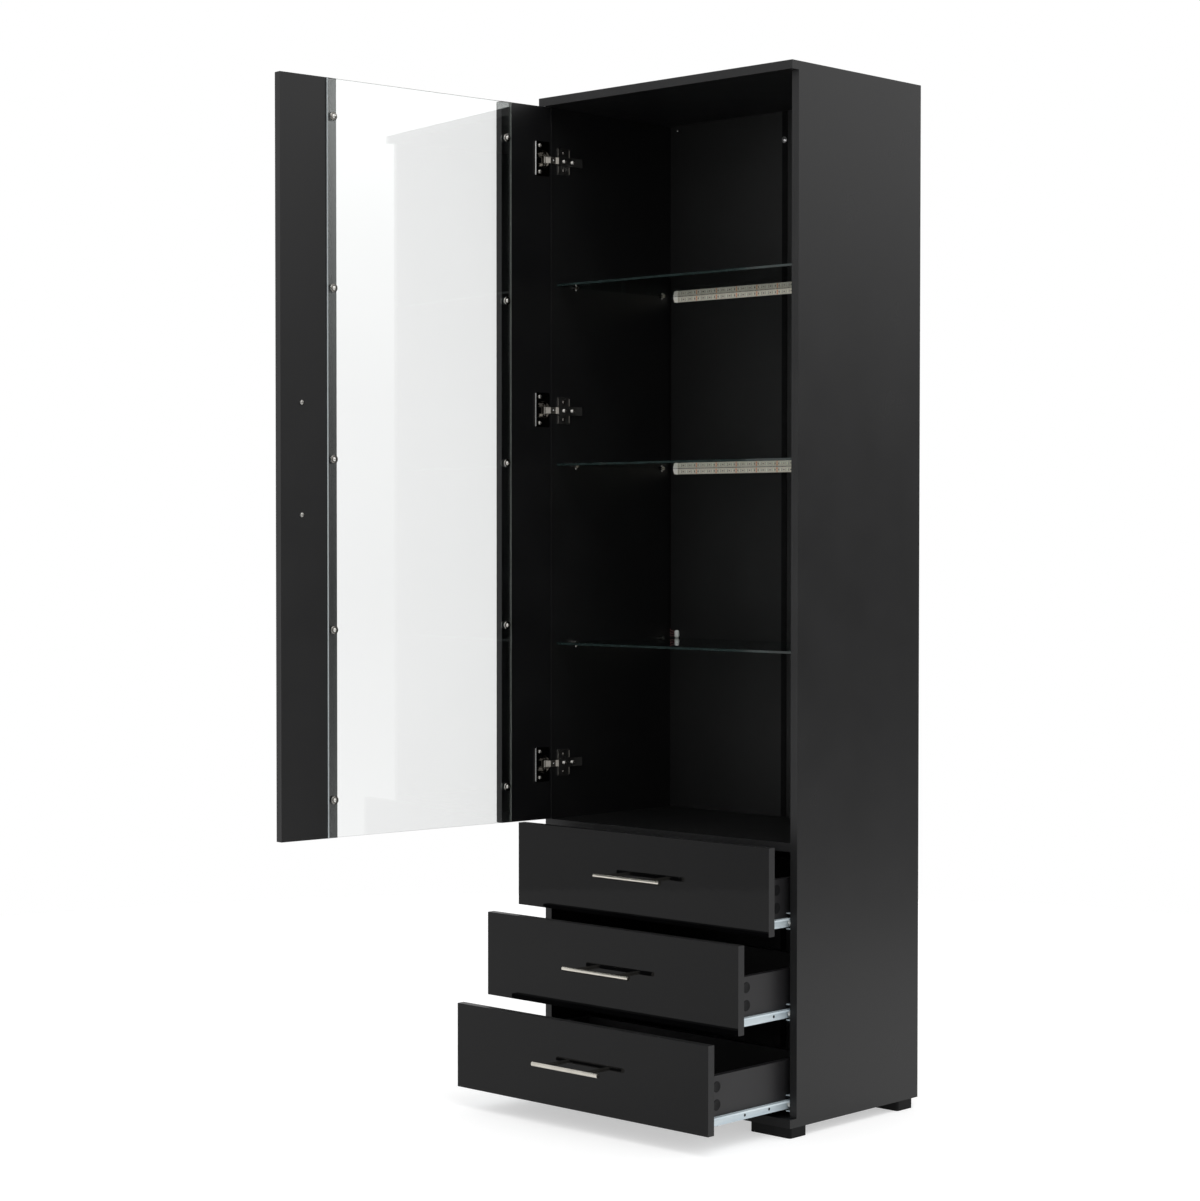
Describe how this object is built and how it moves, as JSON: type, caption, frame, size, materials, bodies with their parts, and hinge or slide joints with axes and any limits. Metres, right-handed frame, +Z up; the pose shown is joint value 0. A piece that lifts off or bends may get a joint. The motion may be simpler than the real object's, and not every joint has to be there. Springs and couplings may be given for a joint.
{
  "type": "china cabinet",
  "caption": "Tall black display cabinet: a glass door on concealed hinges and glass shelves with light tapes, over drawers on roller runners.",
  "frame": {"origin": "middle of the base of the whole object's box as drawn, with the door open and the drawers part out; the floor is z = 0", "axes": "+X to the right as seen from the front, +Y from the front to the back, +Z up"},
  "size_m": [0.6882, 0.943, 1.83],
  "materials": {
    "carcass_board": "satin black laminate on particleboard",
    "front_gloss": "high-gloss black laminate on particleboard",
    "back_board": "black-faced fibreboard",
    "drawer_board": "dark grey laminate on particleboard",
    "drawer_base": "black-faced fibreboard",
    "black_plastic": "matt black plastic",
    "shelf_glass": "clear float glass with polished edges",
    "door_glass": "clear float glass",
    "bright_metal": "bright nickel",
    "tape_silicone": "clear silicone over a white light tape",
    "lead_insulation": "thin insulated wire",
    "white_plastic": "white plastic",
    "hinge_metal": "nickel-plated steel",
    "fixings_metal": "zinc-plated steel",
    "white_steel": "white powder coat on steel",
    "roller_plastic": "white acetal",
    "handle_metal": "brushed satin nickel",
    "dowel_wood": "plain beech"
  },
  "bodies": {
    "cabinet": {"top_panel": "carcass_board", "bottom_panel": "carcass_board", "middle_panel": "carcass_board", "side_left_upper": "carcass_board", "side_left_lower": "carcass_board", "side_right_upper": "carcass_board", "side_right_lower": "carcass_board", "back_left": "back_board", "back_right": "back_board", "back_strip": "black_plastic", "feet": "black_plastic", "shelf_lower": "shelf_glass", "shelf_middle": "shelf_glass", "shelf_upper": "shelf_glass", "shelf_supports": "bright_metal", "light_tapes": "tape_silicone", "light_lead": "lead_insulation", "light_socket": "white_plastic", "hinge_plates": "hinge_metal", "hinge_arms": "hinge_metal", "hinge_arm_screws": "fixings_metal", "cabinet_runners": "white_steel", "back_screw": "bright_metal", "cam_locks": "fixings_metal", "panel_joints": "dowel_wood"},
    "door": {"door_stile_hinge": "front_gloss", "door_stile_free": "front_gloss", "door_glass": "door_glass", "glass_screws": "fixings_metal", "door_handle": "handle_metal", "hinge_cups": "hinge_metal", "door_screws": "fixings_metal", "hinge_pins": "fixings_metal"},
    "drawer_top": {"drawer_top_front": "front_gloss", "drawer_top_sides": "drawer_board", "drawer_top_back": "drawer_board", "drawer_top_base": "drawer_base", "drawer_top_runners": "white_steel", "drawer_top_handle": "handle_metal", "drawer_top_fixings": "fixings_metal"},
    "rear_rollers_top": {"drawer_top_rear_rollers": "roller_plastic"},
    "front_rollers_top": {"drawer_top_front_rollers": "roller_plastic"},
    "drawer_middle": {"drawer_middle_front": "front_gloss", "drawer_middle_sides": "drawer_board", "drawer_middle_back": "drawer_board", "drawer_middle_base": "drawer_base", "drawer_middle_runners": "white_steel", "drawer_middle_handle": "handle_metal", "drawer_middle_fixings": "fixings_metal"},
    "rear_rollers_middle": {"drawer_middle_rear_rollers": "roller_plastic"},
    "front_rollers_middle": {"drawer_middle_front_rollers": "roller_plastic"},
    "drawer_bottom": {"drawer_bottom_front": "front_gloss", "drawer_bottom_sides": "drawer_board", "drawer_bottom_back": "drawer_board", "drawer_bottom_base": "drawer_base", "drawer_bottom_runners": "white_steel", "drawer_bottom_handle": "handle_metal", "drawer_bottom_fixings": "fixings_metal"},
    "rear_rollers_bottom": {"drawer_bottom_rear_rollers": "roller_plastic"},
    "front_rollers_bottom": {"drawer_bottom_front_rollers": "roller_plastic"}
  },
  "joints": [
    {"name": "door_hinge", "type": "hinge", "parent": "cabinet", "child": "door", "pos_m": [-0.24672, 0.11503, 1.15825], "axis": [0, 0, -1], "range_deg": [-96, 14]},
    {"name": "drawer_top_slide", "type": "slide", "parent": "cabinet", "child": "drawer_top", "axis": [0, -1, 0], "range_m": [-0.055, 0.18]},
    {"name": "rear_rollers_top_spin", "type": "hinge", "parent": "drawer_top", "child": "rear_rollers_top", "pos_m": [0.04408, 0.35753, 0.3615], "axis": [1, 0, 0], "range_deg": [-1800, 1800]},
    {"name": "front_rollers_top_spin", "type": "hinge", "parent": "cabinet", "child": "front_rollers_top", "pos_m": [0.04408, 0.13933, 0.3655], "axis": [1, 0, 0], "range_deg": [-1800, 1800]},
    {"name": "drawer_middle_slide", "type": "slide", "parent": "cabinet", "child": "drawer_middle", "axis": [0, -1, 0], "range_m": [-0.134, 0.101]},
    {"name": "rear_rollers_middle_spin", "type": "hinge", "parent": "drawer_middle", "child": "rear_rollers_middle", "pos_m": [0.04408, 0.27853, 0.205], "axis": [1, 0, 0], "range_deg": [-1400, 1400]},
    {"name": "front_rollers_middle_spin", "type": "hinge", "parent": "cabinet", "child": "front_rollers_middle", "pos_m": [0.04408, 0.13933, 0.209], "axis": [1, 0, 0], "range_deg": [-1400, 1400]},
    {"name": "drawer_bottom_slide", "type": "slide", "parent": "cabinet", "child": "drawer_bottom", "axis": [0, -1, 0], "range_m": [-0.21, 0.025]},
    {"name": "rear_rollers_bottom_spin", "type": "hinge", "parent": "drawer_bottom", "child": "rear_rollers_bottom", "pos_m": [0.04408, 0.20253, 0.0485], "axis": [1, 0, 0], "range_deg": [-2100, 2100]},
    {"name": "front_rollers_bottom_spin", "type": "hinge", "parent": "cabinet", "child": "front_rollers_bottom", "pos_m": [0.04408, 0.13933, 0.0525], "axis": [1, 0, 0], "range_deg": [-2100, 2100]}
  ],
  "couplings": [
    {"joint": "rear_rollers_top_spin", "follows": "drawer_top_slide", "rad_per_m": 161.29},
    {"joint": "front_rollers_top_spin", "follows": "drawer_top_slide", "rad_per_m": 161.29},
    {"joint": "rear_rollers_middle_spin", "follows": "drawer_middle_slide", "rad_per_m": 161.29},
    {"joint": "front_rollers_middle_spin", "follows": "drawer_middle_slide", "rad_per_m": 161.29},
    {"joint": "rear_rollers_bottom_spin", "follows": "drawer_bottom_slide", "rad_per_m": 161.29},
    {"joint": "front_rollers_bottom_spin", "follows": "drawer_bottom_slide", "rad_per_m": 161.29}
  ]
}
